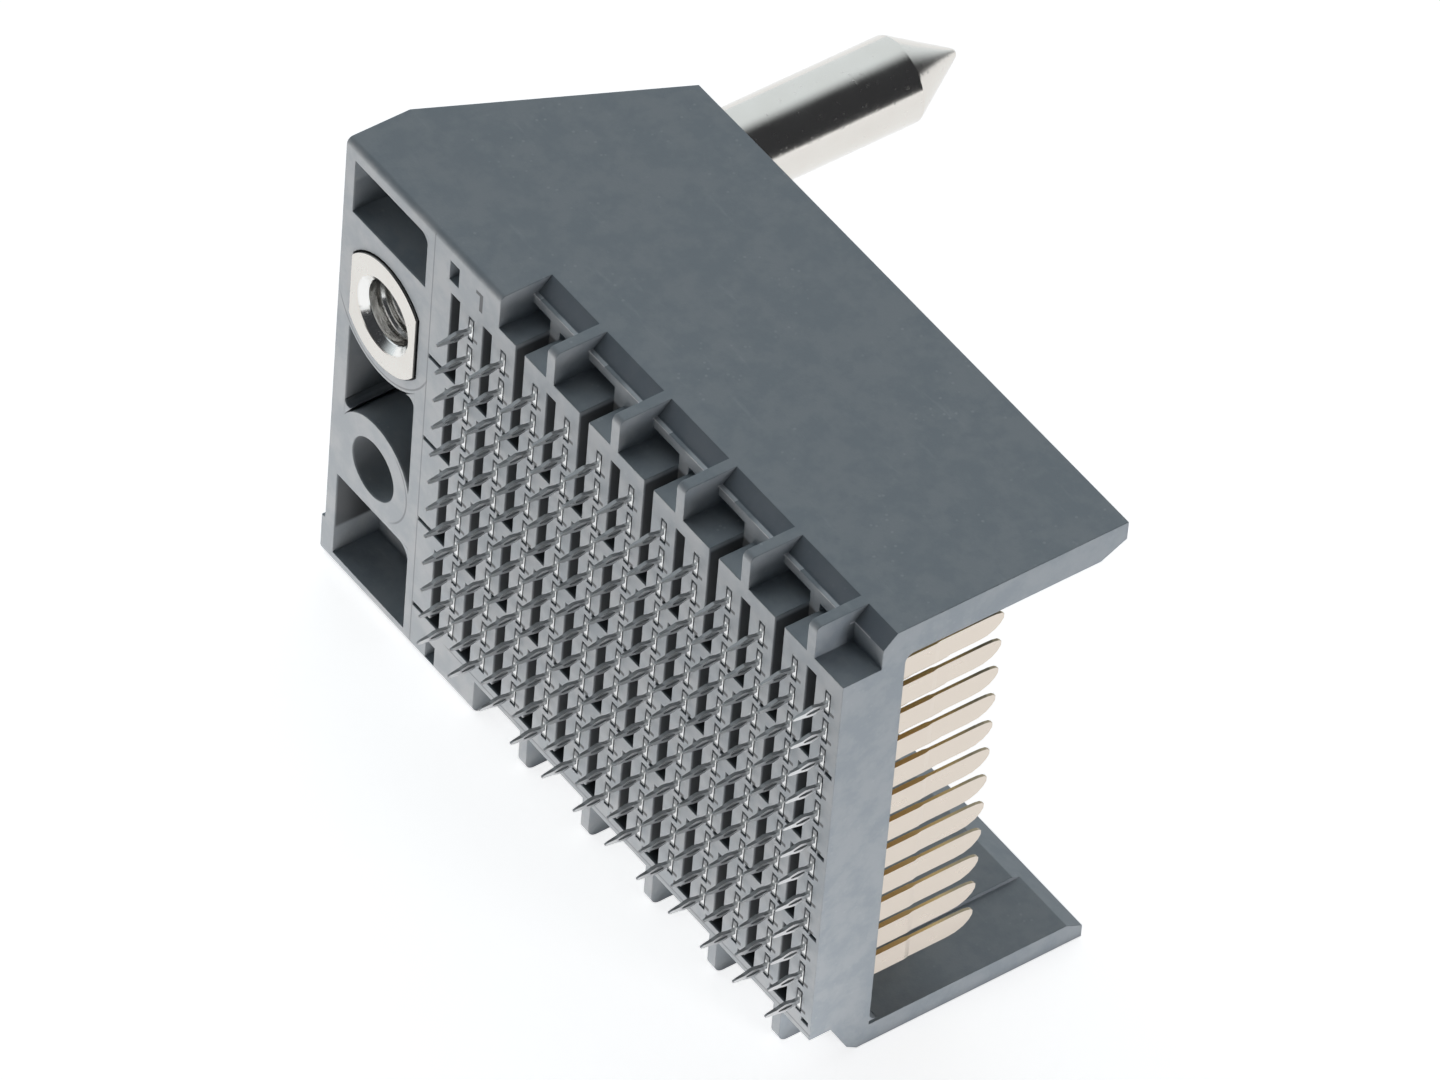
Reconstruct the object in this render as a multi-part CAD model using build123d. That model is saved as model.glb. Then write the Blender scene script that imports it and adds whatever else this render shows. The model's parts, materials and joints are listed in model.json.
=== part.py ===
# A backplane header with press-fit contacts and a guide pin, lying on its lower long wall.
# X runs along the columns from the guide block to the open end, +Y is the mating direction
# and +Z points up, from the lower wall to the upper wall. All sizes are in millimetres.
from build123d import *
import os

# Contact grid
columns = 12
rows = 12
column_pitch = 1.90
row_pitch = 1.35
rows_per_group = 3

# Contact, stamped from strip
contact_thickness = 0.20
contact_width = 0.95
tail_length = 1.45
tail_eye_width = 0.38
tail_eye_from_tip = 0.82
tail_neck_width = 0.20
tail_neck_from_tip = 1.30
shoulder_depth = 0.05
blade_length = 4.75
blade_tip_offset = 0.20
blade_short_round = 0.45
blade_long_round = 1.10

# Base of the housing
base_thickness = 2.60
end_margin = 0.75
guide_length = 7.70
contact_slot_thickness = 0.32
contact_slot_clearance = 0.075

# Long walls
lower_wall_thickness = 1.10
upper_wall_thickness = 1.35
lower_row_to_wall = 1.95
upper_row_to_wall = 1.50
wall_height = 11.85
lead_in_length = 1.05
lead_in_depth = 0.55
floor_corner_radius = 0.35
upper_edge_radius = 0.25
lower_edge_radius = 0.40
wall_taper_length = 4.35
guide_end_height = 2.65

# Lower wall details
end_bay_length = 2.75
end_bay_depth = 0.18
foot_pad_height = 1.90
foot_pad_step = 0.20

# Ribs and recesses along both board edges
rib_thickness = 0.45
rib_after_column = 0.78
first_recess_after_column = 1.55
recess_length = 2.15
upper_recess_back = 1.60
upper_recess_row_gap = 1.40
upper_recess_lip = 0.55
upper_recess_ledge = 0.16
hollow_height = 0.48
hollow_depth = 0.70
lower_recess_row_gap = 1.40
lower_recess_back = 0.95
lower_recess_slope = 0.75
lower_recess_lip = 0.30
rib_pit_height = 0.34

# Core slots between the columns
core_slot_width = 0.55
core_slot_before_column = 0.70
core_slot_depth = 2.30
core_slot_above_row = 0.15
core_slot_below_row = 0.60
core_slot_first_margin = 0.75
core_slot_last_margin = 0.85
core_foot_length = 0.40
first_core_foot_length = 1.05
core_foot_width = 0.20
end_slit_to_edge = 0.15
end_slit_depth = 1.00

# Guide block
guide_axis_from_column = 4.95
guide_axis_below_row = 3.50
guide_pocket_length = 4.40
guide_pocket_to_column = 2.75
guide_pocket_depth = 2.00
upper_pocket_height = 2.45
upper_pocket_to_edge = 0.65
lower_pocket_height = 4.00
lower_pocket_to_edge = 0.60
middle_pocket_length = 4.00
pin_boss_radius = 2.95
peg_hole_from_column = 5.08
peg_hole_below_row = 11.30
peg_hole_diameter = 2.55
peg_boss_radius = 2.20
mark_hole_width = 0.55
mark_hole_height = 0.90
mark_hole_from_column = 1.40
mark_hole_to_edge = 0.65

# Guide pin
pin_diameter = 3.40
pin_pilot_diameter = 3.80
pin_shank_length = 22.10
pin_shoulder_length = 0.20
pin_cone_length = 2.35
pin_cone_diameter = 3.00
pin_tip_diameter = 0.40
pin_clearance = 0.03
pin_head_diameter = 4.80
pin_head_flats = 3.90
pin_head_height = 1.30
pin_head_proud = 0.05
pin_head_clearance = 0.06
pin_thread_diameter = 2.50
pin_thread_depth = 6.00
pin_thread_chamfer = 0.25

# Places worked out from the sizes above
overall_length = foot_pad_step + guide_length + (columns - 1) * column_pitch + end_margin
overall_depth = tail_length + pin_shank_length + pin_shoulder_length + pin_cone_length
tail_tip_y = -overall_depth / 2
board_y = tail_tip_y + tail_length
floor_y = board_y + base_thickness
wall_end_y = board_y + wall_height
open_end_x = overall_length / 2
foot_end_x = -overall_length / 2
guide_end_x = foot_end_x + foot_pad_step
bottom_row_z = lower_wall_thickness + lower_row_to_wall
top_row_z = bottom_row_z + (rows - 1) * row_pitch
upper_inner_z = top_row_z + upper_row_to_wall
top_z = upper_inner_z + upper_wall_thickness
upper_recess_z = top_row_z + upper_recess_row_gap
lower_recess_z = bottom_row_z - lower_recess_row_gap
cut_past = 1.0


def column_x(column):
    """Centre of a column, counted from 1 beside the guide block."""
    return guide_end_x + guide_length + (column - 1) * column_pitch


def row_z(row):
    """Centre of a row, counted from 1 at the upper wall."""
    return top_row_z - (row - 1) * row_pitch


def block(x_low, x_high, y_low, y_high, z_low, z_high):
    """A box between two corners."""
    size = (x_high - x_low, y_high - y_low, z_high - z_low)
    middle = ((x_low + x_high) / 2, (y_low + y_high) / 2, (z_low + z_high) / 2)
    return Pos(*middle) * Box(*size)


def along_x(outline, x_low, x_high):
    """A closed outline of (y, z) points, carried from one x to another."""
    face = make_face(Polyline(*outline, close=True))
    return extrude(Plane.YZ.offset(x_low) * face, x_high - x_low)


def along_z(outline, z_low, z_high):
    """A closed outline of (x, y) points, carried from one z to another."""
    face = make_face(Polyline(*outline, close=True))
    return extrude(Plane.XY.offset(z_low) * face, z_high - z_low)


def into_board(sketch, depth):
    """A sketch in x and z, cut from the board face to a depth."""
    plane = Plane(origin=(0, board_y - cut_past, 0), x_dir=(1, 0, 0), z_dir=(0, -1, 0))
    return extrude(plane * sketch, -(depth + cut_past))


def shell_section():
    """Base and both walls as one section, with the lead-ins at the mating edges."""
    outline = [
        (board_y, 0),
        (wall_end_y, 0),
        (wall_end_y, lower_wall_thickness - lead_in_depth),
        (wall_end_y - lead_in_length, lower_wall_thickness),
        (floor_y, lower_wall_thickness),
        (floor_y, upper_inner_z),
        (wall_end_y - lead_in_length, upper_inner_z),
        (wall_end_y, upper_inner_z + lead_in_depth),
        (wall_end_y, top_z),
        (board_y, top_z),
    ]
    return along_x(outline, guide_end_x, open_end_x)


def foot_pad():
    """The end of the lower wall, a little longer than the guide block."""
    foot_height_y = board_y + guide_end_height
    pad = block(foot_end_x, guide_end_x + cut_past, board_y, foot_height_y, 0, foot_pad_height)
    lower_edge = pad.edges().filter_by(Axis.X).group_by(Axis.Z)[0].sort_by(Axis.Y)[0]
    return fillet(lower_edge, lower_edge_radius)


def wall_taper():
    """What the slanted guide end takes off both walls."""
    slant_start = (foot_end_x - cut_past, board_y + guide_end_height)
    corner = (guide_end_x, board_y + guide_end_height)
    slant_end = (guide_end_x + wall_taper_length, wall_end_y)
    past_end = (guide_end_x + wall_taper_length, wall_end_y + cut_past)
    outer = (foot_end_x - cut_past, wall_end_y + cut_past)
    return along_z([slant_start, corner, slant_end, past_end, outer], -cut_past, top_z + cut_past)


def end_bay():
    """The thinner stretch of the lower wall at the open end."""
    low_z = lower_wall_thickness - end_bay_depth
    low_x = open_end_x - end_bay_length
    return block(low_x, open_end_x + cut_past, floor_y, wall_end_y, low_z, lower_wall_thickness)


def recess_spans():
    """Start and end of each recess, from the guide block to the open end."""
    start = column_x(1) + first_recess_after_column
    spans = []
    for column in range(3, columns + 1, 2):
        rib_middle = column_x(column) + rib_after_column
        spans.append((start, rib_middle - rib_thickness / 2))
        start = rib_middle + rib_thickness / 2
    spans.append((start, open_end_x + cut_past))
    return spans


def upper_recess(x_low, x_high, ledge):
    """One recess in the upper board edge: flat floor, upright back, ledge, sloping lip."""
    back_y = board_y + upper_recess_back
    lip_z = top_z - upper_recess_lip
    outline = [
        (board_y - cut_past, upper_recess_z),
        (back_y - ledge, upper_recess_z),
        (back_y - ledge, lip_z),
        (back_y, lip_z),
        (board_y + recess_length, top_z),
        (board_y + recess_length, top_z + cut_past),
        (board_y - cut_past, top_z + cut_past),
    ]
    if not ledge:
        outline.pop(2)
    return along_x(outline, x_low, x_high)


def back_hollow(x_low, x_high, height):
    """A hollow in the back of a recess, from its floor up."""
    front_y = board_y + upper_recess_back - upper_recess_ledge
    back_y = front_y + hollow_depth
    return block(x_low, x_high, front_y, back_y, upper_recess_z, upper_recess_z + height)


def lower_recess(x_low, x_high):
    """One recess in the lower board edge: flat roof and a sloping back."""
    back_y = board_y + lower_recess_back
    outline = [
        (board_y - cut_past, lower_recess_z),
        (back_y, lower_recess_z),
        (back_y + lower_recess_slope, lower_recess_lip),
        (board_y + recess_length, 0),
        (board_y + recess_length, -cut_past),
        (board_y - cut_past, -cut_past),
    ]
    return along_x(outline, x_low, x_high)


def core_slots():
    """Slots between the columns: one for each group of rows, each with a narrow foot."""
    slots = []
    for column in range(1, columns + 1):
        right_x = column_x(column) - core_slot_before_column
        left_x = right_x - core_slot_width
        for first_row in range(1, rows + 1, rows_per_group):
            last_row = min(first_row + rows_per_group - 1, rows)
            high_z = row_z(first_row) + core_slot_above_row
            low_z = row_z(last_row) - core_slot_below_row
            depth = core_slot_depth
            if first_row == 1:
                high_z = row_z(1) + core_slot_first_margin
                if column % 2 == 1 and column > 1:
                    high_z = upper_recess_z
                    depth = upper_recess_back - upper_recess_ledge
            if last_row == rows:
                low_z = row_z(rows) - core_slot_last_margin
            foot_x = left_x - (first_core_foot_length if column == 1 else core_foot_length)
            foot_z = low_z + core_foot_width
            outline = [
                (right_x, low_z),
                (right_x, high_z),
                (left_x, high_z),
                (left_x, foot_z),
                (foot_x, foot_z),
                (foot_x, low_z),
            ]
            slots.append(into_board(make_face(Polyline(*outline, close=True)), depth))
    return slots


def end_slits():
    """A narrow slit past the last column, at the foot of each group of rows."""
    slits = []
    for last_row in range(rows_per_group, rows + 1, rows_per_group):
        low_z = row_z(last_row) - core_slot_below_row
        if last_row == rows:
            low_z = row_z(rows) - core_slot_last_margin
        middle_x = open_end_x - end_slit_to_edge - core_foot_length / 2
        middle_z = low_z + core_foot_width / 2
        shape = Rectangle(core_foot_length, core_foot_width)
        slits.append(into_board(Pos(middle_x, middle_z) * shape, end_slit_depth))
    return slits


def contact_slots():
    """A slot through the base for every contact."""
    height = contact_width + 2 * contact_slot_clearance
    slots = []
    for column in range(1, columns + 1):
        middle_x = column_x(column)
        low_x = middle_x - contact_slot_thickness / 2
        high_x = middle_x + contact_slot_thickness / 2
        for row in range(1, rows + 1):
            low_z = row_z(row) - height / 2
            slots.append(block(low_x, high_x, board_y - cut_past, floor_y + cut_past,
                               low_z, low_z + height))
    return slots


def guide_sketches():
    """Places of the pin and the peg hole, and the three pockets around them."""
    pocket_high_x = column_x(1) - guide_pocket_to_column
    pocket_middle_x = pocket_high_x - guide_pocket_length / 2
    pin_place = Pos(column_x(1) - guide_axis_from_column, row_z(1) - guide_axis_below_row)
    peg_place = Pos(column_x(1) - peg_hole_from_column, row_z(1) - peg_hole_below_row)
    upper_z = top_z - upper_pocket_to_edge - upper_pocket_height / 2
    upper = Pos(pocket_middle_x, upper_z) * Rectangle(guide_pocket_length, upper_pocket_height)
    middle_high_z = pin_place.position.Y
    middle_low_z = peg_place.position.Y
    middle_at = Pos(pocket_middle_x, (middle_high_z + middle_low_z) / 2)
    middle = middle_at * Rectangle(middle_pocket_length, middle_high_z - middle_low_z)
    middle -= pin_place * Circle(pin_boss_radius)
    middle -= peg_place * Circle(peg_boss_radius)
    lower_z = lower_pocket_to_edge + lower_pocket_height / 2
    lower = Pos(pocket_middle_x, lower_z) * Rectangle(guide_pocket_length, lower_pocket_height)
    return pin_place, peg_place, [upper, middle, lower]


def head_sketch(clearance):
    """Outline of the pin's head, a circle with two flats."""
    radius = pin_head_diameter / 2 + clearance
    flats = pin_head_flats + 2 * clearance
    return Circle(radius) & Rectangle(flats, 2 * radius)


def mark_holes():
    """Two small blind holes in the corners beside the first column."""
    middle_x = column_x(1) - mark_hole_from_column + mark_hole_width / 2
    shape = Rectangle(mark_hole_width, mark_hole_height)
    upper_z = top_z - mark_hole_to_edge - mark_hole_height / 2
    lower_z = mark_hole_to_edge / 2 + mark_hole_height / 2
    return [
        into_board(Pos(middle_x, upper_z) * shape, core_slot_depth),
        into_board(Pos(middle_x, lower_z) * shape, core_slot_depth),
    ]


def make_housing():
    """The moulded housing with all its slots, pockets and recesses."""
    housing = shell_section()
    inner_corners = housing.edges().filter_by(Axis.X).filter_by_position(Axis.Y, floor_y, floor_y)
    housing = fillet(inner_corners, floor_corner_radius)
    board_edges = housing.edges().filter_by(Axis.X).group_by(Axis.Y)[0].sort_by(Axis.Z)
    housing = fillet(board_edges[1], upper_edge_radius)
    board_edges = housing.edges().filter_by(Axis.X).group_by(Axis.Y)[0].sort_by(Axis.Z)
    housing = fillet(board_edges[0], lower_edge_radius)
    housing += foot_pad()
    housing -= wall_taper()
    housing -= end_bay()
    spans = recess_spans()
    cuts = [upper_recess(low, high, upper_recess_ledge) for low, high in spans[:-1]]
    cuts.append(upper_recess(*spans[-1], 0))
    cuts += [lower_recess(low, high) for low, high in spans]
    for column, (low, high) in zip(range(3, columns + 1, 2), spans):
        slot_right = column_x(column) - core_slot_before_column
        cuts.append(back_hollow(low, slot_right - core_slot_width, hollow_height))
        if column % 4 == 3:
            cuts.append(back_hollow(slot_right, high, rib_pit_height))
    housing -= cuts
    pin_place, peg_place, pockets = guide_sketches()
    cuts = core_slots() + end_slits() + contact_slots() + mark_holes()
    cuts += [into_board(pocket, guide_pocket_depth) for pocket in pockets]
    cuts.append(into_board(peg_place * Circle(peg_hole_diameter / 2), base_thickness + cut_past))
    bore_radius = pin_pilot_diameter / 2 + pin_clearance
    cuts.append(into_board(pin_place * Circle(bore_radius), base_thickness + cut_past))
    seat_depth = pin_head_height - pin_head_proud
    cuts.append(into_board(pin_place * head_sketch(pin_head_clearance), seat_depth))
    housing -= cuts
    return housing


def make_pin():
    """The turned guide pin, with its head seated in the board face."""
    radius = pin_diameter / 2
    pilot_radius = pin_pilot_diameter / 2
    cone_start = pin_shank_length + pin_shoulder_length
    tip = cone_start + pin_cone_length
    thread_radius = pin_thread_diameter / 2
    head_end = pin_head_height - pin_head_proud
    outline = [
        (thread_radius + pin_thread_chamfer, -pin_head_proud),
        (pin_head_diameter / 2, -pin_head_proud),
        (pin_head_diameter / 2, head_end),
        (pilot_radius, head_end),
        (pilot_radius, base_thickness),
        (radius, base_thickness),
        (radius, pin_shank_length),
        (pin_cone_diameter / 2, cone_start),
        (pin_tip_diameter / 2, tip),
        (0, tip),
        (0, pin_thread_depth - pin_head_proud),
        (thread_radius, pin_thread_depth - pin_head_proud),
        (thread_radius, pin_thread_chamfer - pin_head_proud),
    ]
    pin = revolve(make_face(Polyline(*outline, close=True)), Axis.Y)
    flats = block(-pin_head_flats / 2, pin_head_flats / 2, -cut_past, tip + cut_past,
                  -pin_head_diameter, pin_head_diameter)
    pin = pin & flats
    middle_x = column_x(1) - guide_axis_from_column
    middle_z = row_z(1) - guide_axis_below_row
    return Pos(middle_x, board_y, middle_z) * pin


def make_contact():
    """One contact on its own axis, with the tip of its tail at the origin."""
    half = contact_width / 2
    blade_end = tail_length + base_thickness + blade_length
    outline = [
        (0, 0),
        (tail_eye_from_tip, tail_eye_width / 2),
        (tail_neck_from_tip, tail_neck_width / 2),
        (tail_length + shoulder_depth, half),
        (blade_end - blade_short_round, half),
        (blade_end, blade_tip_offset),
        (blade_end - blade_long_round, -half),
        (tail_length + shoulder_depth, -half),
        (tail_neck_from_tip, -tail_neck_width / 2),
        (tail_eye_from_tip, -tail_eye_width / 2),
    ]
    return along_x(outline, -contact_thickness / 2, contact_thickness / 2)


def contacts_at(contact, column, chosen_rows):
    """Copies of the contact in one column, as a group of separate solids."""
    places = [Pos(column_x(column), tail_tip_y, row_z(row)) for row in chosen_rows]
    return Compound(children=[place * contact for place in places])


def write(name, shape):
    """One STEP file for one piece or group."""
    export_step(shape, os.path.join("parts", name + ".step"))


os.makedirs("parts", exist_ok=True)
write("housing", make_housing())
write("guide_pin", make_pin())
one_contact = make_contact()
ground_rows = range(rows_per_group, rows + 1, rows_per_group)
signal_rows = [row for row in range(1, rows + 1) if row not in ground_rows]
for column in range(1, columns + 1):
    write(f"signal_contacts_{column:02d}", contacts_at(one_contact, column, signal_rows))
    write(f"ground_contacts_{column:02d}", contacts_at(one_contact, column, ground_rows))
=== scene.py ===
import json
import math

import bpy
from mathutils import Matrix, Vector


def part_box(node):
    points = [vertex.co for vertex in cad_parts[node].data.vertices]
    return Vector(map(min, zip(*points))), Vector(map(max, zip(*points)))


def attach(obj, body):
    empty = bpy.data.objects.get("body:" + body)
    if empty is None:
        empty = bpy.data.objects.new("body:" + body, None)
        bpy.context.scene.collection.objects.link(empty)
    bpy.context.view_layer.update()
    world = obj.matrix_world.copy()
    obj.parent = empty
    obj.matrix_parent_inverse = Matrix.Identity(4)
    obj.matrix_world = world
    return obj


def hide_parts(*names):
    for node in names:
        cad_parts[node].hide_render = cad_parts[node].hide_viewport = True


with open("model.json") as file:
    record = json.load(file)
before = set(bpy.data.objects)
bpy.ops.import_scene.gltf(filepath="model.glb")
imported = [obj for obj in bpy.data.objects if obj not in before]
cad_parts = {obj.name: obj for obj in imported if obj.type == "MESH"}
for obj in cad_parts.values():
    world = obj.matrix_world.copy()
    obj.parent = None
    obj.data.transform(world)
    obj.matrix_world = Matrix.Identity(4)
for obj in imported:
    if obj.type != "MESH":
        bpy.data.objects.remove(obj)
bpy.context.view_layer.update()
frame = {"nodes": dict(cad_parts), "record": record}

MM = 0.001
COLUMNS = 12
ROWS = 12
GROUND_ROWS = (3, 6, 9, 12)
SIGNAL_ROWS = [row for row in range(1, ROWS + 1) if row not in GROUND_ROWS]
COLUMN_NAMES = [f"{column:02d}" for column in range(1, COLUMNS + 1)]

# Places read from the frame
MOUNTS = {mount["name"]: mount for mount in frame["record"]["mounts"]}
BOARD_Y = MOUNTS["board_face"]["pos_m"][1]
FLOOR_Y = BOARD_Y + MOUNTS["peg_hole"]["dims"]["length_mm"] * MM
PIN_X, _, PIN_Z = MOUNTS["guide_pin"]["pos_m"]
PEG_X, _, PEG_Z = MOUNTS["peg_hole"]["pos_m"]
HOUSING_LOW, HOUSING_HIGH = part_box("housing")
COLUMN_LOW, COLUMN_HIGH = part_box("signal_contacts_01")
GROUND_LOW, GROUND_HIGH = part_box("ground_contacts_01")
TAIL_TIP_Y = COLUMN_LOW[1]
FIRST_COLUMN_X = (COLUMN_LOW[0] + COLUMN_HIGH[0]) / 2
COLUMN_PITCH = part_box("signal_contacts_02")[0][0] - COLUMN_LOW[0]
CONTACT_THICKNESS = COLUMN_HIGH[0] - COLUMN_LOW[0]

# Rows: a column's signal contacts span one row pitch more than its ground contacts
SIGNAL_SPAN = COLUMN_HIGH[2] - COLUMN_LOW[2]
GROUND_SPAN = GROUND_HIGH[2] - GROUND_LOW[2]
ROW_PITCH = SIGNAL_SPAN - GROUND_SPAN
CONTACT_WIDTH = SIGNAL_SPAN - (SIGNAL_ROWS[-1] - SIGNAL_ROWS[0]) * ROW_PITCH
TOP_ROW_Z = COLUMN_HIGH[2] - CONTACT_WIDTH / 2
BOTTOM_ROW_Z = TOP_ROW_Z - (ROWS - 1) * ROW_PITCH


class Value:
    """A shader socket that takes Python arithmetic as Math nodes."""

    def __init__(self, finish, socket):
        self.finish = finish
        self.socket = socket

    def maths(self, operation, first, second=None):
        """One Math node on one or two values."""
        values = {0: first}
        if second is not None:
            values[1] = second
        return self.finish.add("ShaderNodeMath", {"operation": operation}, values)

    def __add__(self, other):
        return self.maths("ADD", self, other)

    def __radd__(self, other):
        return self.maths("ADD", other, self)

    def __sub__(self, other):
        return self.maths("SUBTRACT", self, other)

    def __rsub__(self, other):
        return self.maths("SUBTRACT", other, self)

    def __mul__(self, other):
        return self.maths("MULTIPLY", self, other)

    def __rmul__(self, other):
        return self.maths("MULTIPLY", other, self)

    def __abs__(self):
        return self.maths("ABSOLUTE", self)

    def within(self, pitch):
        """The distance from the nearest of places a pitch apart, below zero before it."""
        shifted = self.maths("FLOORED_MODULO", self + pitch / 2, pitch)
        return shifted - pitch / 2

    def smooth(self, low, high):
        """Zero below low, one above high and a soft step between."""
        settings = {"interpolation_type": "SMOOTHSTEP"}
        return self.finish.add("ShaderNodeMapRange", settings, {0: self, 1: low, 2: high})

    def between(self, low, high, soft):
        """One between low and high, with a soft step at both."""
        return self.smooth(low - soft, low + soft) * (1 - self.smooth(high - soft, high + soft))


class Finish:
    """The nodes of a material, or of the room, built up by calls."""

    def __init__(self, owner):
        self.owner = owner
        owner.use_nodes = True
        self.tree = owner.node_tree
        self.tree.nodes.clear()

    def add(self, kind, settings=None, inputs=None, output=0):
        """Adds a node: its settings first, then the values or links of its sockets."""
        node = self.tree.nodes.new(kind)
        for name, value in (settings or {}).items():
            setattr(node, name, value)
        for name, value in (inputs or {}).items():
            if isinstance(value, Value):
                self.tree.links.new(value.socket, node.inputs[name])
            else:
                node.inputs[name].default_value = value
        return Value(self, node.outputs[output]) if len(node.outputs) else None

    def place(self):
        """The object's own coordinates, in metres, as one vector."""
        return self.add("ShaderNodeTexCoord", output="Object")

    def facing(self):
        """The object's own surface direction, as one vector."""
        return self.add("ShaderNodeTexCoord", output="Normal")

    def distance(self, centre):
        """How far the surface is from a place."""
        settings = {"operation": "DISTANCE"}
        return self.add("ShaderNodeVectorMath", settings, {0: self.place(), 1: centre}, output=1)

    def parts(self, vector):
        """The three numbers of a vector."""
        first = self.add("ShaderNodeSeparateXYZ", inputs={0: vector})
        return [Value(self, socket) for socket in first.socket.node.outputs]

    def stretched(self, per_mm, stretch):
        """The object's coordinates, counted in features of 1 / per_mm millimetres."""
        scale = tuple(per_mm / MM * each for each in stretch)
        return self.add("ShaderNodeMapping", inputs={"Vector": self.place(), "Scale": scale})

    def noise(self, per_mm, detail=2.0, stretch=(1, 1, 1), roughness=0.5):
        """Soft noise from 0 to 1."""
        values = {"Vector": self.stretched(per_mm, stretch), "Scale": 1.0,
                  "Detail": detail, "Roughness": roughness}
        return self.add("ShaderNodeTexNoise", inputs=values)

    def cells(self, per_mm):
        """Distance to the nearest of scattered points."""
        values = {"Vector": self.stretched(per_mm, (1, 1, 1)), "Scale": 1.0}
        return self.add("ShaderNodeTexVoronoi", inputs=values, output="Distance")

    def blend(self, amount, first, second):
        """A mix of two colours."""
        settings = {"data_type": "RGBA", "clamp_factor": True}
        return self.add("ShaderNodeMix", settings, {0: amount, 6: first, 7: second}, output=2)

    def bump(self, height, distance, normal=None):
        """A bump from a height, with its depth in metres."""
        values = {"Height": height, "Distance": distance}
        if normal is not None:
            values["Normal"] = normal
        return self.add("ShaderNodeBump", inputs=values)

    def close(self, inputs):
        """The surface shader and its output."""
        shader = self.add("ShaderNodeBsdfPrincipled", inputs=inputs)
        self.add("ShaderNodeOutputMaterial", inputs={"Surface": shader})
        return self.owner


# Colours of the plastic
SLATE_DARK = (0.272, 0.312, 0.346, 1)
SLATE_LIGHT = (0.334, 0.368, 0.396, 1)
PALE_WEAR = (0.50, 0.53, 0.55, 1)
# painted highlight for the recess ledges
LEDGE_HIGHLIGHT = (0.66, 0.69, 0.72, 1)
# painted shade for the recess lips
LIP_SHADE = (0.085, 0.110, 0.140, 1)
DARK_INSIDE = (0.045, 0.05, 0.055, 1)
# dark seam joint, and painted shade in the board's grooves
SEAM_AND_GROOVE_SHADE = (0.05, 0.055, 0.06, 1)

# Places on the plastic: the upper recesses' floor and ledge, the lower rim and the guide block's seam
RECESS_FLOOR_Z = TOP_ROW_Z + 1.40 * MM
RIM_Z = BOTTOM_ROW_Z - 1.40 * MM
LEDGE_Z = HOUSING_HIGH[2] - 0.55 * MM
SEAM_X = -9.23 * MM

# Marks on the board face, sunk grooves drawn dark as painted shade and a seam that is a dark joint:
# their sizes, and how soft their edges are
MARK_EDGE = 0.02 * MM
SEAM_WIDTH = 0.05 * MM
RIM_LINE = (RIM_Z + 0.20 * MM, RIM_Z + 0.26 * MM)
PEG_RING = (2.02 * MM, 2.09 * MM)
PIN_RING = (2.78 * MM, 2.85 * MM)
TICK_ALONG = (0.16 * MM, 0.40 * MM)
TICK_UP = (-0.42 * MM, -0.28 * MM)
FIGURE_X = -6.50 * MM
FIGURE_BAR = (FIGURE_X, FIGURE_X + 0.19 * MM)
FIGURE_FLAG = (FIGURE_X - 0.22 * MM, FIGURE_X + 0.05 * MM)
FIGURE_LOW, FIGURE_HIGH = 19.15 * MM, 20.0 * MM
FLAG_THICKNESS = 0.16 * MM


def recess_ledge_highlights(x, y, z):
    """Painted highlight on the ledge in each upper recess, of which there is one to two columns; it
    fades out towards the left, where the rib's shadow falls.
    """
    ledge = z.between(LEDGE_Z - 0.05 * MM, LEDGE_Z + 0.03 * MM, 0.02 * MM)
    ledge = ledge * y.between(BOARD_Y + 1.40 * MM, BOARD_Y + 1.62 * MM, 0.03 * MM)
    from_recess = (x - FIRST_COLUMN_X).within(2 * COLUMN_PITCH)
    return ledge * from_recess.smooth(-1.1 * MM, -0.5 * MM)


def recess_lip_shade(y, facing_up):
    """Painted shade on the sloping lip of each upper recess, found by its slope."""
    slope = facing_up.between(0.62, 0.80, 0.03)
    return slope * y.between(BOARD_Y + 1.5 * MM, BOARD_Y + 2.3 * MM, 0.05 * MM)


def inside_shade(x, y, z, facing_right):
    """How dark the slots and the pockets are, which little light reaches."""
    slots = x.smooth(SEAM_X, SEAM_X + 0.5 * MM)
    pockets = 1 - slots
    low_pocket = (1 - z.smooth(PEG_Z - 2.2 * MM, PEG_Z - 0.8 * MM)) * pockets
    side_wall = facing_right.smooth(0.4, 0.8) * (1 - z.smooth(PIN_Z - 1.0 * MM, PIN_Z)) * pockets
    fade = y.smooth(BOARD_Y, BOARD_Y + 1.5 * MM)
    shade = 0.36 + slots * 0.50 + low_pocket * (0.12 + fade * 0.34) + side_wall * 0.20
    inside = y.smooth(BOARD_Y + 0.02 * MM, BOARD_Y + 0.11 * MM)
    inside = inside * (1 - y.smooth(FLOOR_Y - 0.4 * MM, FLOOR_Y - 0.1 * MM))
    inside = inside * z.between(RIM_Z + 0.2 * MM, RECESS_FLOOR_Z - 0.2 * MM, 0.1 * MM)
    inside = inside * x.between(HOUSING_LOW[0] + 0.5 * MM, HOUSING_HIGH[0] - 0.2 * MM, 0.1 * MM)
    return inside * shade


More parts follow.
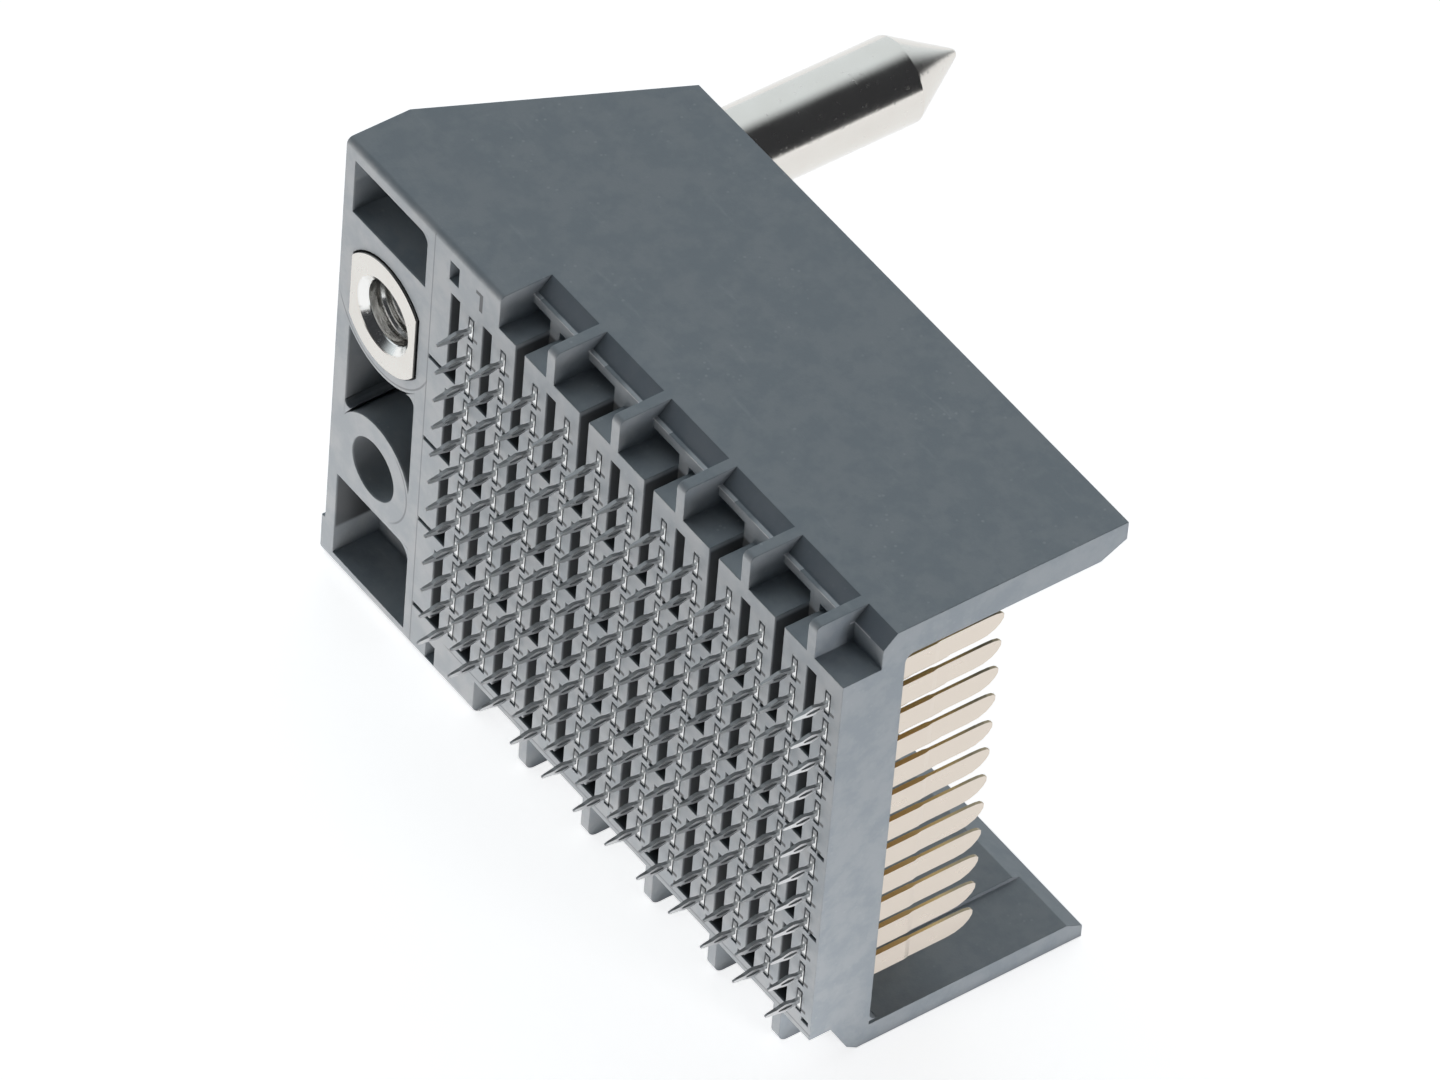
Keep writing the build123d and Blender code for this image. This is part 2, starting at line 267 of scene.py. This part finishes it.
def board_grooves_and_shade(finish, x, y, z):
    """Shallow sunk marks on the board face: the seam, rings, rim line, ticks and figure. The seam is
    a dark joint; the others are dark as painted shade in their grooves, and the rings are drawn only
    on the side where their shadow line falls.
    """
    board = 1 - y.smooth(BOARD_Y + 0.01 * MM, BOARD_Y + 0.03 * MM)
    contacts = x.smooth(FIRST_COLUMN_X - 0.5 * MM, FIRST_COLUMN_X)
    seam = x.between(SEAM_X, SEAM_X + SEAM_WIDTH, 0.015 * MM)
    rim = z.between(*RIM_LINE, MARK_EDGE) * contacts
    peg_ring = finish.distance((PEG_X, BOARD_Y, PEG_Z)).between(*PEG_RING, MARK_EDGE)
    # painted shadow line: the peg's ring is kept only to its right
    peg_ring = peg_ring * x.smooth(PEG_X + 1.0 * MM, PEG_X + 1.6 * MM)
    pin_ring = finish.distance((PIN_X, BOARD_Y, PIN_Z)).between(*PIN_RING, MARK_EDGE)
    # painted shadow line: the pin's ring is kept only below it
    pin_ring = pin_ring * (1 - z.smooth(PIN_Z - 1.4 * MM, PIN_Z - 0.8 * MM))
    tick = (x - FIRST_COLUMN_X).within(COLUMN_PITCH).between(*TICK_ALONG, MARK_EDGE)
    tick = tick * (z - TOP_ROW_Z).within(ROW_PITCH).between(*TICK_UP, MARK_EDGE)
    tick = tick * contacts * z.between(BOTTOM_ROW_Z - 0.6 * MM, TOP_ROW_Z + 0.6 * MM, MARK_EDGE)
    bar = x.between(*FIGURE_BAR, MARK_EDGE) * z.between(FIGURE_LOW, FIGURE_HIGH, MARK_EDGE)
    flag = x.between(*FIGURE_FLAG, MARK_EDGE)
    flag = flag * z.between(FIGURE_HIGH - FLAG_THICKNESS, FIGURE_HIGH, MARK_EDGE)
    lines = (seam + rim + peg_ring + pin_ring) * 0.6
    return (lines + (bar + flag + tick).smooth(0.2, 0.8)) * board


def moulded_plastic():
    """Slate grey glass-filled plastic with a fine matte grain, with painted highlight and shade in
    the recesses, painted shade in the slots and pockets, and painted shade in the board's grooves.
    """
    finish = Finish(bpy.data.materials.new("moulded_plastic"))
    x, y, z = finish.parts(finish.place())
    facing_right, _, facing_up = finish.parts(finish.facing())
    grain = finish.noise(11.0, detail=3.0)
    cloud = finish.noise(0.9, detail=5.0, roughness=0.62).smooth(0.36, 0.64)
    specks = (1 - finish.cells(2.6).smooth(0.08, 0.20)) * finish.noise(0.5).smooth(0.48, 0.60)
    scuffs = finish.noise(1.1, detail=5.0, stretch=(0.35, 2.2, 1), roughness=0.65).smooth(0.60, 0.78)
    wear = (specks * 0.45 + scuffs * 0.25) * (0.3 + facing_up.smooth(0.5, 0.9) * 0.7)
    marks = board_grooves_and_shade(finish, x, y, z)
    colour = finish.blend(cloud, SLATE_DARK, SLATE_LIGHT)
    colour = finish.blend(wear, colour, PALE_WEAR)
    # painted highlight on the recess ledges
    colour = finish.blend(recess_ledge_highlights(x, y, z), colour, LEDGE_HIGHLIGHT)
    # painted shade on the recess lips
    colour = finish.blend(recess_lip_shade(y, facing_up) * 0.66, colour, LIP_SHADE)
    colour = finish.blend(inside_shade(x, y, z, facing_right), colour, DARK_INSIDE)
    # dark seam joint, and painted shade in the other grooves
    colour = finish.blend(marks * 0.85, colour, SEAM_AND_GROOVE_SHADE)
    rough = 0.50 + cloud * 0.08 - scuffs * 0.12
    rounded = finish.add("ShaderNodeBevel", {"samples": 4}, {"Radius": 0.06 * MM})
    normal = finish.bump(grain - marks * 2.0, 0.004 * MM, normal=rounded)
    return finish.close({"Base Color": colour, "Roughness": rough, "Normal": normal})


# Colours of the contacts, with painted reflection on the sheared edges and painted glints and shade
# at the shoulders
GOLD = (0.73, 0.65, 0.57, 1)
# painted reflection and painted shade for the blades' sheared edges
GOLD_CUT_REFLECTION = (0.98, 0.68, 0.30, 1)
GOLD_TIP_CUT_SHADE = (0.34, 0.28, 0.19, 1)
TIN = (0.68, 0.685, 0.69, 1)
# painted dark reflection for the tails' sheared edges
TIN_CUT_REFLECTION = (0.32, 0.325, 0.33, 1)
# painted shade and painted glint for the shoulders at the board
TIN_SHOULDER_SHADE = (0.30, 0.305, 0.31, 1)
TIN_GLINT = (0.90, 0.90, 0.89, 1)


def plated_contact():
    """Gold on the blades and tin on the tails, with a darker sheared edge, partly bare metal and
    partly painted reflection: on the blades saturated gold turning dark brown toward the tip; the
    shoulders at the board carry painted glints with painted shade beside them.
    """
    finish = Finish(bpy.data.materials.new("plated_contact"))
    _, y, z = finish.parts(finish.place())
    facing_right, _, _ = finish.parts(finish.facing())
    sheared = 1 - abs(facing_right).smooth(0.35, 0.75)
    toward_tip = y.smooth(FLOOR_Y + 2.4 * MM, FLOOR_Y + 4.2 * MM)
    # painted reflection on the blades' sheared edges: saturated gold near the housing, dark brown
    # toward the tip
    gold = finish.blend(sheared, GOLD, finish.blend(toward_tip, GOLD_CUT_REFLECTION, GOLD_TIP_CUT_SHADE))
    from_row = (z - TOP_ROW_Z + 0.05 * MM).within(ROW_PITCH)
    # painted glint in the middle of each shoulder, with painted shade beside it
    shoulder_glint = 1 - abs(from_row).smooth(0.22 * MM, 0.32 * MM)
    at_board = y.smooth(BOARD_Y - 0.22 * MM, BOARD_Y - 0.12 * MM)
    # painted dark reflection on the tails' sheared edges
    tin = finish.blend(sheared, TIN, TIN_CUT_REFLECTION)
    tin = finish.blend(at_board, tin, finish.blend(shoulder_glint, TIN_SHOULDER_SHADE, TIN_GLINT))
    on_blade = y.smooth(BOARD_Y + 1.0 * MM, BOARD_Y + 1.6 * MM)
    smear = finish.noise(3.0, detail=3.0, stretch=(1, 0.3, 1))
    return finish.close({
        "Base Color": finish.blend(on_blade, tin, gold),
        "Roughness": 0.22 + smear * 0.16 + sheared * 0.08,
        "Normal": finish.bump(smear, 0.004 * MM),
        "Metallic": 1.0,
    })


# Colours of the pin
NICKEL_WARM = (0.68, 0.645, 0.60, 1)
NICKEL_BRIGHT = (0.76, 0.73, 0.69, 1)
# painted shade for the head's flank
NICKEL_FLANK_SHADE = (0.10, 0.10, 0.10, 1)
# painted reflection for the bore
NICKEL_BORE_REFLECTION = (0.88, 0.87, 0.85, 1)


def bright_nickel():
    """Turned and plated metal, with painted shade on the head's flank and a painted reflection that
    makes the bore lighter.
    """
    finish = Finish(bpy.data.materials.new("bright_nickel"))
    x, y, z = finish.parts(finish.place())
    _, facing_along, _ = finish.parts(finish.facing())
    turning = finish.noise(14.0, detail=1.0, stretch=(0.05, 1, 0.05))
    smear = finish.noise(0.8, detail=3.0)
    pits = finish.noise(5.0, detail=4.0).smooth(0.60, 0.72)
    colour = finish.blend(smear, NICKEL_WARM, NICKEL_BRIGHT)
    # painted shade on the flank of the head, next to the board
    flank = 1 - abs(facing_along).smooth(0.3, 0.7)
    flank = flank * (1 - y.smooth(BOARD_Y + 0.1 * MM, BOARD_Y + 0.2 * MM))
    colour = finish.blend(flank * 0.9, colour, NICKEL_FLANK_SHADE)
    # painted reflection: the bore is lighter than the outside
    from_axis_squared = (x - PIN_X) * (x - PIN_X) + (z - PIN_Z) * (z - PIN_Z)
    bore = 1 - from_axis_squared.smooth((1.50 * MM) ** 2, (1.56 * MM) ** 2)
    bore = bore * (1 - y.smooth(FLOOR_Y + 4.0 * MM, FLOOR_Y + 4.1 * MM))
    return finish.close({
        "Base Color": finish.blend(bore, colour, NICKEL_BORE_REFLECTION),
        "Roughness": 0.13 + smear * 0.10 + pits * 0.12,
        "Normal": finish.bump(turning + pits, 0.0015 * MM),
        "Metallic": 1.0,
    })


def dress(thing, material):
    """Gives an object one material."""
    thing.data.materials.clear()
    thing.data.materials.append(material)


# Modelling helpers
def leave_all():
    """Nothing stays selected."""
    for thing in bpy.context.selected_objects:
        thing.select_set(False)
    bpy.context.view_layer.objects.active = None


def take(thing):
    """Only this object is selected."""
    leave_all()
    thing.select_set(True)
    bpy.context.view_layer.objects.active = thing


def pick(thing, test, kind="VERT"):
    """Selects the vertices or faces whose middle passes a test, and opens edit mode."""
    bpy.ops.object.mode_set(mode="EDIT")
    bpy.ops.mesh.select_mode(type=kind)
    bpy.ops.mesh.select_all(action="DESELECT")
    bpy.ops.object.mode_set(mode="OBJECT")
    for item in thing.data.vertices if kind == "VERT" else thing.data.polygons:
        item.select = test(item.co if kind == "VERT" else item.center)
    bpy.ops.object.mode_set(mode="EDIT")


def everywhere(place):
    """A test that every place passes."""
    return True


def near(value, place):
    """Whether a coordinate is at a place, within rounding."""
    return abs(value - place) < 0.004 * MM


def resize(size, centre):
    """Resizes what is selected about a centre."""
    bpy.ops.transform.resize(value=size, center_override=centre)


def carry(step, size=(1, 1, 1), centre=(0, 0, 0)):
    """Extrudes what is selected by a step, then resizes the new end about a centre."""
    bpy.ops.mesh.extrude_region_move(TRANSFORM_OT_translate={"value": step})
    resize(size, centre)


def settle():
    """Puts the place of the selected object into its mesh."""
    bpy.ops.object.transform_apply(location=True, rotation=True, scale=True)


def modify(thing, kind, settings):
    """Adds one modifier and applies it."""
    modifier = thing.modifiers.new(kind.lower(), kind)
    for name, value in settings.items():
        setattr(modifier, name, value)
    bpy.ops.object.modifier_apply(modifier=modifier.name)


def turn_outwards():
    """Makes every face of the open mesh point outwards."""
    bpy.ops.mesh.select_all(action="SELECT")
    bpy.ops.mesh.normals_make_consistent(inside=False)


def copy_of(thing, move):
    """A copy with its own mesh, moved and settled."""
    take(thing)
    bpy.ops.object.duplicate(linked=False)
    bpy.ops.transform.translate(value=move)
    settle()
    return bpy.context.object


def join(things, name):
    """Makes one mesh of several."""
    leave_all()
    for thing in things:
        thing.select_set(True)
    bpy.context.view_layer.objects.active = things[0]
    bpy.ops.object.join()
    things[0].name = name
    return things[0]


# Contact, in millimetres: distance from the tip of the tail, and both edges of the strip there
CONTACT_OUTLINE = [
    (0.00, -0.035, 0.035),
    (0.10, -0.070, 0.070),
    (0.46, -0.100, 0.100),
    (0.62, -0.150, 0.150),
    (0.82, -0.190, 0.190),
    (1.02, -0.150, 0.150),
    (1.17, -0.100, 0.100),
    (1.43, -0.090, 0.090),
    (1.45, -0.430, 0.430),
    (1.51, -0.475, 0.475),
    (5.90, -0.475, 0.475),
    (6.10, -0.475, 0.475),
    (7.70, -0.475, 0.475),
    (8.10, -0.440, 0.475),
    (8.45, -0.300, 0.455),
    (8.68, -0.100, 0.400),
    (8.80, 0.100, 0.300),
]
EYE_FROM, EYE_TO = 0.46, 1.17
EYE_WALL = 0.075
SHOULDER_AT = 1.44
COIN_FROM = 6.00
TIP_TO = 0.10

# Contact: the share of a size that is left where it is pressed
EYE_PRESSED = 0.65
TAIL_PRESSED = 0.72
COIN_PRESSED = 0.62
TIP_PRESSED = 0.6


def press(contact, middle_x, share, test):
    """Makes the strip thinner where its places pass a test."""
    pick(contact, test)
    resize((share, 1, 1), (middle_x, 0, 0))


def make_contact(middle_x, middle_z):
    """One stamped contact: the strip is drawn out, its eye pierced and its blade coined."""
    leave_all()
    first, low, high = CONTACT_OUTLINE[0]
    length = CONTACT_OUTLINE[1][0] - first
    width = high - low
    tip = (middle_x, TAIL_TIP_Y, middle_z)
    bpy.ops.mesh.primitive_plane_add(size=1, location=tip, rotation=(0, math.pi / 2, 0))
    contact = bpy.context.object
    settle()
    pick(contact, everywhere)
    resize((1, length * MM, width * MM), tip)
    bpy.ops.transform.translate(value=(0, length / 2 * MM, 0))
    bpy.ops.object.mode_set(mode="OBJECT")
    for index, (from_tip, low, high) in enumerate(CONTACT_OUTLINE[1:], start=1):
        y = TAIL_TIP_Y + from_tip * MM
        aside = (high + low) / 2 * MM
        pick(contact, lambda place: near(place.y, y))
        resize((1, 1, (high - low) / width), (middle_x, y, middle_z))
        bpy.ops.transform.translate(value=(0, 0, aside))
        width = high - low
        if index < len(CONTACT_OUTLINE) - 1:
            length = CONTACT_OUTLINE[index + 1][0] - from_tip
            step = (0, length * MM, -aside)
            bpy.ops.mesh.extrude_region_move(TRANSFORM_OT_translate={"value": step})
        bpy.ops.object.mode_set(mode="OBJECT")
    eye_low = TAIL_TIP_Y + EYE_FROM * MM
    eye_high = TAIL_TIP_Y + EYE_TO * MM
    pick(contact, lambda place: eye_low < place.y < eye_high, kind="FACE")
    bpy.ops.mesh.inset(thickness=EYE_WALL * MM)
    resize((1, 1, EYE_PRESSED), (middle_x, (eye_low + eye_high) / 2, middle_z))
    bpy.ops.mesh.delete(type="FACE")
    bpy.ops.object.mode_set(mode="OBJECT")
    modify(contact, "SOLIDIFY", {"thickness": CONTACT_THICKNESS, "offset": 0})
    press(contact, middle_x, TAIL_PRESSED, lambda place: place.y < TAIL_TIP_Y + SHOULDER_AT * MM)
    press(contact, middle_x, COIN_PRESSED, lambda place: place.y > TAIL_TIP_Y + COIN_FROM * MM)
    press(contact, middle_x, TIP_PRESSED, lambda place: place.y < TAIL_TIP_Y + TIP_TO * MM)
    turn_outwards()
    bpy.ops.object.mode_set(mode="OBJECT")
    return contact


def make_columns(material):
    """Every column's contacts, in place of the plain ones."""
    contact = make_contact(FIRST_COLUMN_X, TOP_ROW_Z)
    dress(contact, material)
    for kind, rows in (("signal", SIGNAL_ROWS), ("ground", GROUND_ROWS)):
        copies = [copy_of(contact, (0, 0, (1 - row) * ROW_PITCH)) for row in rows]
        first = join(copies, f"{kind}_blades_01")
        columns = [first]
        for index, number in enumerate(COLUMN_NAMES[1:], start=1):
            column = copy_of(first, (index * COLUMN_PITCH, 0, 0))
            column.name = f"{kind}_blades_{number}"
            columns.append(column)
        for column, number in zip(columns, COLUMN_NAMES):
            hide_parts(f"{kind}_contacts_{number}")
            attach(column, "root")
    bpy.data.objects.remove(contact)


# Guide pin, in millimetres: distance from the board face and radius, from the head to the tip
PIN_OUTLINE = [
    (-0.12, 2.40),
    (1.25, 2.40),
    (1.25, 1.90),
    (2.60, 1.90),
    (2.60, 1.70),
    (22.08, 1.70),
    (22.17, 1.66),
    (24.45, 0.28),
    (24.61, 0.17),
    (24.65, 0.06),
]
PIN_SIDES = 72
PIN_FLATS = 3.90
PIN_ROUNDING = 0.05
HOLE_MOUTH = 1.58
HOLE_RADIUS = 1.25
LEAD_IN = 0.30
THREAD_DEPTH = 0.10
THREAD_PITCH = 0.40
THREAD_TURNS = 13


def make_pin(material):
    """The turned guide pin: drawn out from its head, drilled, threaded and flattened."""
    leave_all()
    axis = (PIN_X, 0, PIN_Z)
    from_board, radius = PIN_OUTLINE[0]
    head_y = BOARD_Y + from_board * MM
    bpy.ops.mesh.primitive_circle_add(vertices=PIN_SIDES, radius=radius * MM, fill_type="NGON",
                                      location=(PIN_X, head_y, PIN_Z), rotation=(math.pi / 2, 0, 0))
    pin = bpy.context.object
    pin.name = "turned_guide_pin"
    settle()
    pick(pin, everywhere)
    for next_from_board, next_radius in PIN_OUTLINE[1:]:
        size = next_radius / radius
        carry((0, (next_from_board - from_board) * MM, 0), (size, 1, size), axis)
        from_board, radius = next_from_board, next_radius
    bpy.ops.object.mode_set(mode="OBJECT")
    pick(pin, lambda place: near(place.y, head_y), kind="FACE")
    bpy.ops.mesh.inset(thickness=(PIN_OUTLINE[0][1] - HOLE_MOUTH) * MM)
    narrower = HOLE_RADIUS / HOLE_MOUTH
    carry((0, (HOLE_MOUTH - HOLE_RADIUS) * MM, 0), (narrower, 1, narrower), axis)
    carry((0, LEAD_IN * MM, 0))
    wider = (HOLE_RADIUS + THREAD_DEPTH) / HOLE_RADIUS
    half_turn = (0, THREAD_PITCH / 2 * MM, 0)
    for turn in range(THREAD_TURNS):
        carry(half_turn, (wider, 1, wider), axis)
        carry(half_turn, (1 / wider, 1, 1 / wider), axis)
    for side in (-1, 1):
        bpy.ops.mesh.select_all(action="SELECT")
        flat = (PIN_X + side * PIN_FLATS / 2 * MM, 0, 0)
        bpy.ops.mesh.bisect(plane_co=flat, plane_no=(side, 0, 0), use_fill=True,
                            clear_outer=True, threshold=0.001 * MM)
    turn_outwards()
    bpy.ops.object.mode_set(mode="OBJECT")
    modify(pin, "BEVEL", {
        "width": PIN_ROUNDING * MM,
        "segments": 2,
        "limit_method": "ANGLE",
        "angle_limit": math.radians(40),
        "use_clamp_overlap": False,
    })
    bpy.ops.object.shade_smooth_by_angle(angle=math.radians(12))
    dress(pin, material)
    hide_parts("guide_pin")
    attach(pin, "root")


# Pockets of the guide block: their place, size, upper edges, bosses and rounded corners
POCKET_HIGH_X = FIRST_COLUMN_X - 2.75 * MM
POCKET_LENGTH = 4.40 * MM
MIDDLE_POCKET_LENGTH = 4.00 * MM
POCKET_DEPTH = 2.00 * MM
UPPER_POCKET_Z = HOUSING_HIGH[2] - 0.65 * MM
LOWER_POCKET_Z = 4.60 * MM
PIN_BOSS = 2.95 * MM
PEG_BOSS = 2.20 * MM
UPPER_CORNER_RADIUS = 0.44 * MM
LOWER_CORNER_RADIUS = 0.62 * MM
PIN_CORNER_RADIUS = 0.32 * MM
PEG_CORNER_RADIUS = 0.22 * MM
CORNER_STEPS = 6
LEFT = (-1, 0, 0)
DOWN = (0, 0, -1)


def make_corner(x, z, first, second, radius):
    """What fills a pocket's corner up to a round, between the directions of its two walls."""
    leave_all()
    place = Vector((x, BOARD_Y, z))
    first = Vector(first).normalized()
    second = Vector(second).normalized()
    angle = first.angle(second)
    run = radius / math.tan(angle / 2)
    centre = place + (first + second).normalized() * radius / math.sin(angle / 2)
    bpy.ops.mesh.primitive_plane_add(size=run, location=place)
    corner = bpy.context.object
    settle()
    pick(corner, everywhere)
    bpy.ops.mesh.merge(type="CENTER")
    bpy.ops.mesh.extrude_region_move(TRANSFORM_OT_translate={"value": first * run})
    axis = first.cross(second).normalized()
    bpy.ops.mesh.spin(steps=CORNER_STEPS, angle=math.pi - angle, center=centre, axis=axis)
    bpy.ops.mesh.select_all(action="SELECT")
    bpy.ops.mesh.edge_face_add()
    carry((0, POCKET_DEPTH, 0))
    turn_outwards()
    bpy.ops.object.mode_set(mode="OBJECT")
    return corner


def boss_corner(boss_x, boss_z, boss_radius, side, above, radius):
    """The corner where a round boss meets the middle pocket's wall, on a side and above or below."""
    middle_x = POCKET_HIGH_X - POCKET_LENGTH / 2
    x = middle_x + side * MIDDLE_POCKET_LENGTH / 2
    aside = x - boss_x
    up = above * math.sqrt(boss_radius ** 2 - aside ** 2)
    along_boss = (-side * abs(up), 0, above * abs(aside))
    return make_corner(x, boss_z + up, (0, 0, above), along_boss, radius)


def make_pocket_corners(material):
    """Every rounded corner, as one piece on the housing."""
    corners = [
        make_corner(POCKET_HIGH_X, UPPER_POCKET_Z, LEFT, DOWN, UPPER_CORNER_RADIUS),
        make_corner(POCKET_HIGH_X, LOWER_POCKET_Z, LEFT, DOWN, LOWER_CORNER_RADIUS),
        boss_corner(PIN_X, PIN_Z, PIN_BOSS, 1, -1, PIN_CORNER_RADIUS),
        boss_corner(PEG_X, PEG_Z, PEG_BOSS, -1, 1, PEG_CORNER_RADIUS),
    ]
    rounds = join(corners, "pocket_corners")
    dress(rounds, material)
    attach(rounds, "root")


plastic = moulded_plastic()
contact_metal = plated_contact()
nickel = bright_nickel()
for name, node in frame["nodes"].items():
    if name == "housing":
        dress(node, plastic)
    elif name == "guide_pin":
        dress(node, nickel)
    else:
        dress(node, contact_metal)

make_columns(contact_metal)
make_pin(nickel)
make_pocket_corners(plastic)


# Camera, at the place that the photograph was taken from
IMAGE_WIDTH = 1440
FOCAL_PIXELS = 14254.77
SENSOR = 36.0
CAMERA_AT = Vector((266.782, -223.464, 365.325)) * MM
CAMERA_RIGHT = Vector((0.58243, 0.81065, 0.06023))
CAMERA_UP = Vector((-0.60845, 0.38562, 0.69361))


def add_camera():
    """The camera, from its place, its two directions and its focal length."""
    data = bpy.data.cameras.new("camera")
    data.sensor_fit = "HORIZONTAL"
    data.sensor_width = SENSOR
    data.lens = FOCAL_PIXELS * SENSOR / IMAGE_WIDTH
    data.clip_start = 0.01
    data.clip_end = 20.0
    camera = bpy.data.objects.new("camera", data)
    bpy.context.scene.collection.objects.link(camera)
    back = CAMERA_RIGHT.cross(CAMERA_UP)
    turn = Matrix((CAMERA_RIGHT, CAMERA_UP, back)).transposed()
    camera.matrix_world = Matrix.LocRotScale(CAMERA_AT, turn.to_quaternion(), None)
    bpy.context.scene.camera = camera


# Floor, room and lamps: a lamp has its place, what it faces, its side in metres, watts and colour
WHITE = (1, 1, 1, 1)
FLOOR_SEEN = (0.86, 0.86, 0.86, 1)
FLOOR_GLOW = 0.75
FLOOR_UNSEEN = (0.75, 0.75, 0.75, 1)
ROOM_DARK = (0.042, 0.044, 0.048, 1)
ROOM_BRIGHT = (0.88, 0.96, 1.0, 1)
LAMPS = {
    "table_left": ((-0.095, -0.1366, 0.00002), (-0.095, -0.1366, 1), 0.25, 0.43, (1.0, 0.92, 0.87)),
    "table_right": ((0.14, 0.10, 0.00002), (0.14, 0.10, 1), 0.25, 0.12, (1, 1, 1)),
    "right_side": ((0.38, 0.10, 0.045), (0, 0, 0.01), 0.12, 0.66, (1.0, 0.98, 1.0)),
}


def add_floor():
    """A pale floor that keeps a soft shadow."""
    leave_all()
    bpy.ops.mesh.primitive_plane_add(size=4.0, location=(0, 0, 0))
    floor = bpy.context.object
    floor.name = "floor"
    finish = Finish(bpy.data.materials.new("pale_floor"))
    pale = finish.add("ShaderNodeBsdfDiffuse", inputs={"Color": FLOOR_SEEN})
    glow = finish.add("ShaderNodeEmission", inputs={"Color": WHITE, "Strength": FLOOR_GLOW})
    both = finish.add("ShaderNodeAddShader", inputs={0: pale, 1: glow})
    camera_ray = finish.add("ShaderNodeLightPath", output="Is Camera Ray")
    glossy_ray = finish.add("ShaderNodeLightPath", output="Is Glossy Ray")
    seen = finish.add("ShaderNodeMath", {"operation": "MAXIMUM"}, {0: camera_ray, 1: glossy_ray})
    dull = finish.add("ShaderNodeBsdfDiffuse", inputs={"Color": FLOOR_UNSEEN})
    surface = finish.add("ShaderNodeMixShader", inputs={0: seen, 1: dull, 2: both})
    finish.add("ShaderNodeOutputMaterial", inputs={"Surface": surface})
    dress(floor, finish.owner)


def add_room():
    """A room that is bright behind the object and dark about the camera."""
    world = bpy.data.worlds.new("world")
    bpy.context.scene.world = world
    room = Finish(world)
    x, y, z = room.parts(room.add("ShaderNodeTexCoord", output="Generated"))
    behind = (y * 0.35 - x * 0.85 + z * 0.35).smooth(0.33, 0.76)
    colour = room.blend(behind, ROOM_DARK, ROOM_BRIGHT)
    camera_ray = room.add("ShaderNodeLightPath", output="Is Camera Ray")
    colour = room.blend(camera_ray, colour, WHITE)
    surface = room.add("ShaderNodeBackground", inputs={"Color": colour, "Strength": 1.0})
    room.add("ShaderNodeOutputWorld", inputs={"Surface": surface})


def add_lamp(name, at, toward, size, power, colour):
    """A soft square lamp at a place, turned toward another."""
    data = bpy.data.lights.new(name, "AREA")
    data.size = size
    data.energy = power
    data.color = colour
    lamp = bpy.data.objects.new(name, data)
    bpy.context.scene.collection.objects.link(lamp)
    turn = (Vector(toward) - Vector(at)).to_track_quat("-Z", "Y")
    lamp.matrix_world = Matrix.LocRotScale(Vector(at), turn, None)
    lamp.visible_camera = False
    lamp.visible_glossy = False


add_camera()
add_floor()
add_room()
for name, lamp in LAMPS.items():
    add_lamp(name, *lamp)

bpy.context.scene.view_settings.view_transform = "Standard"
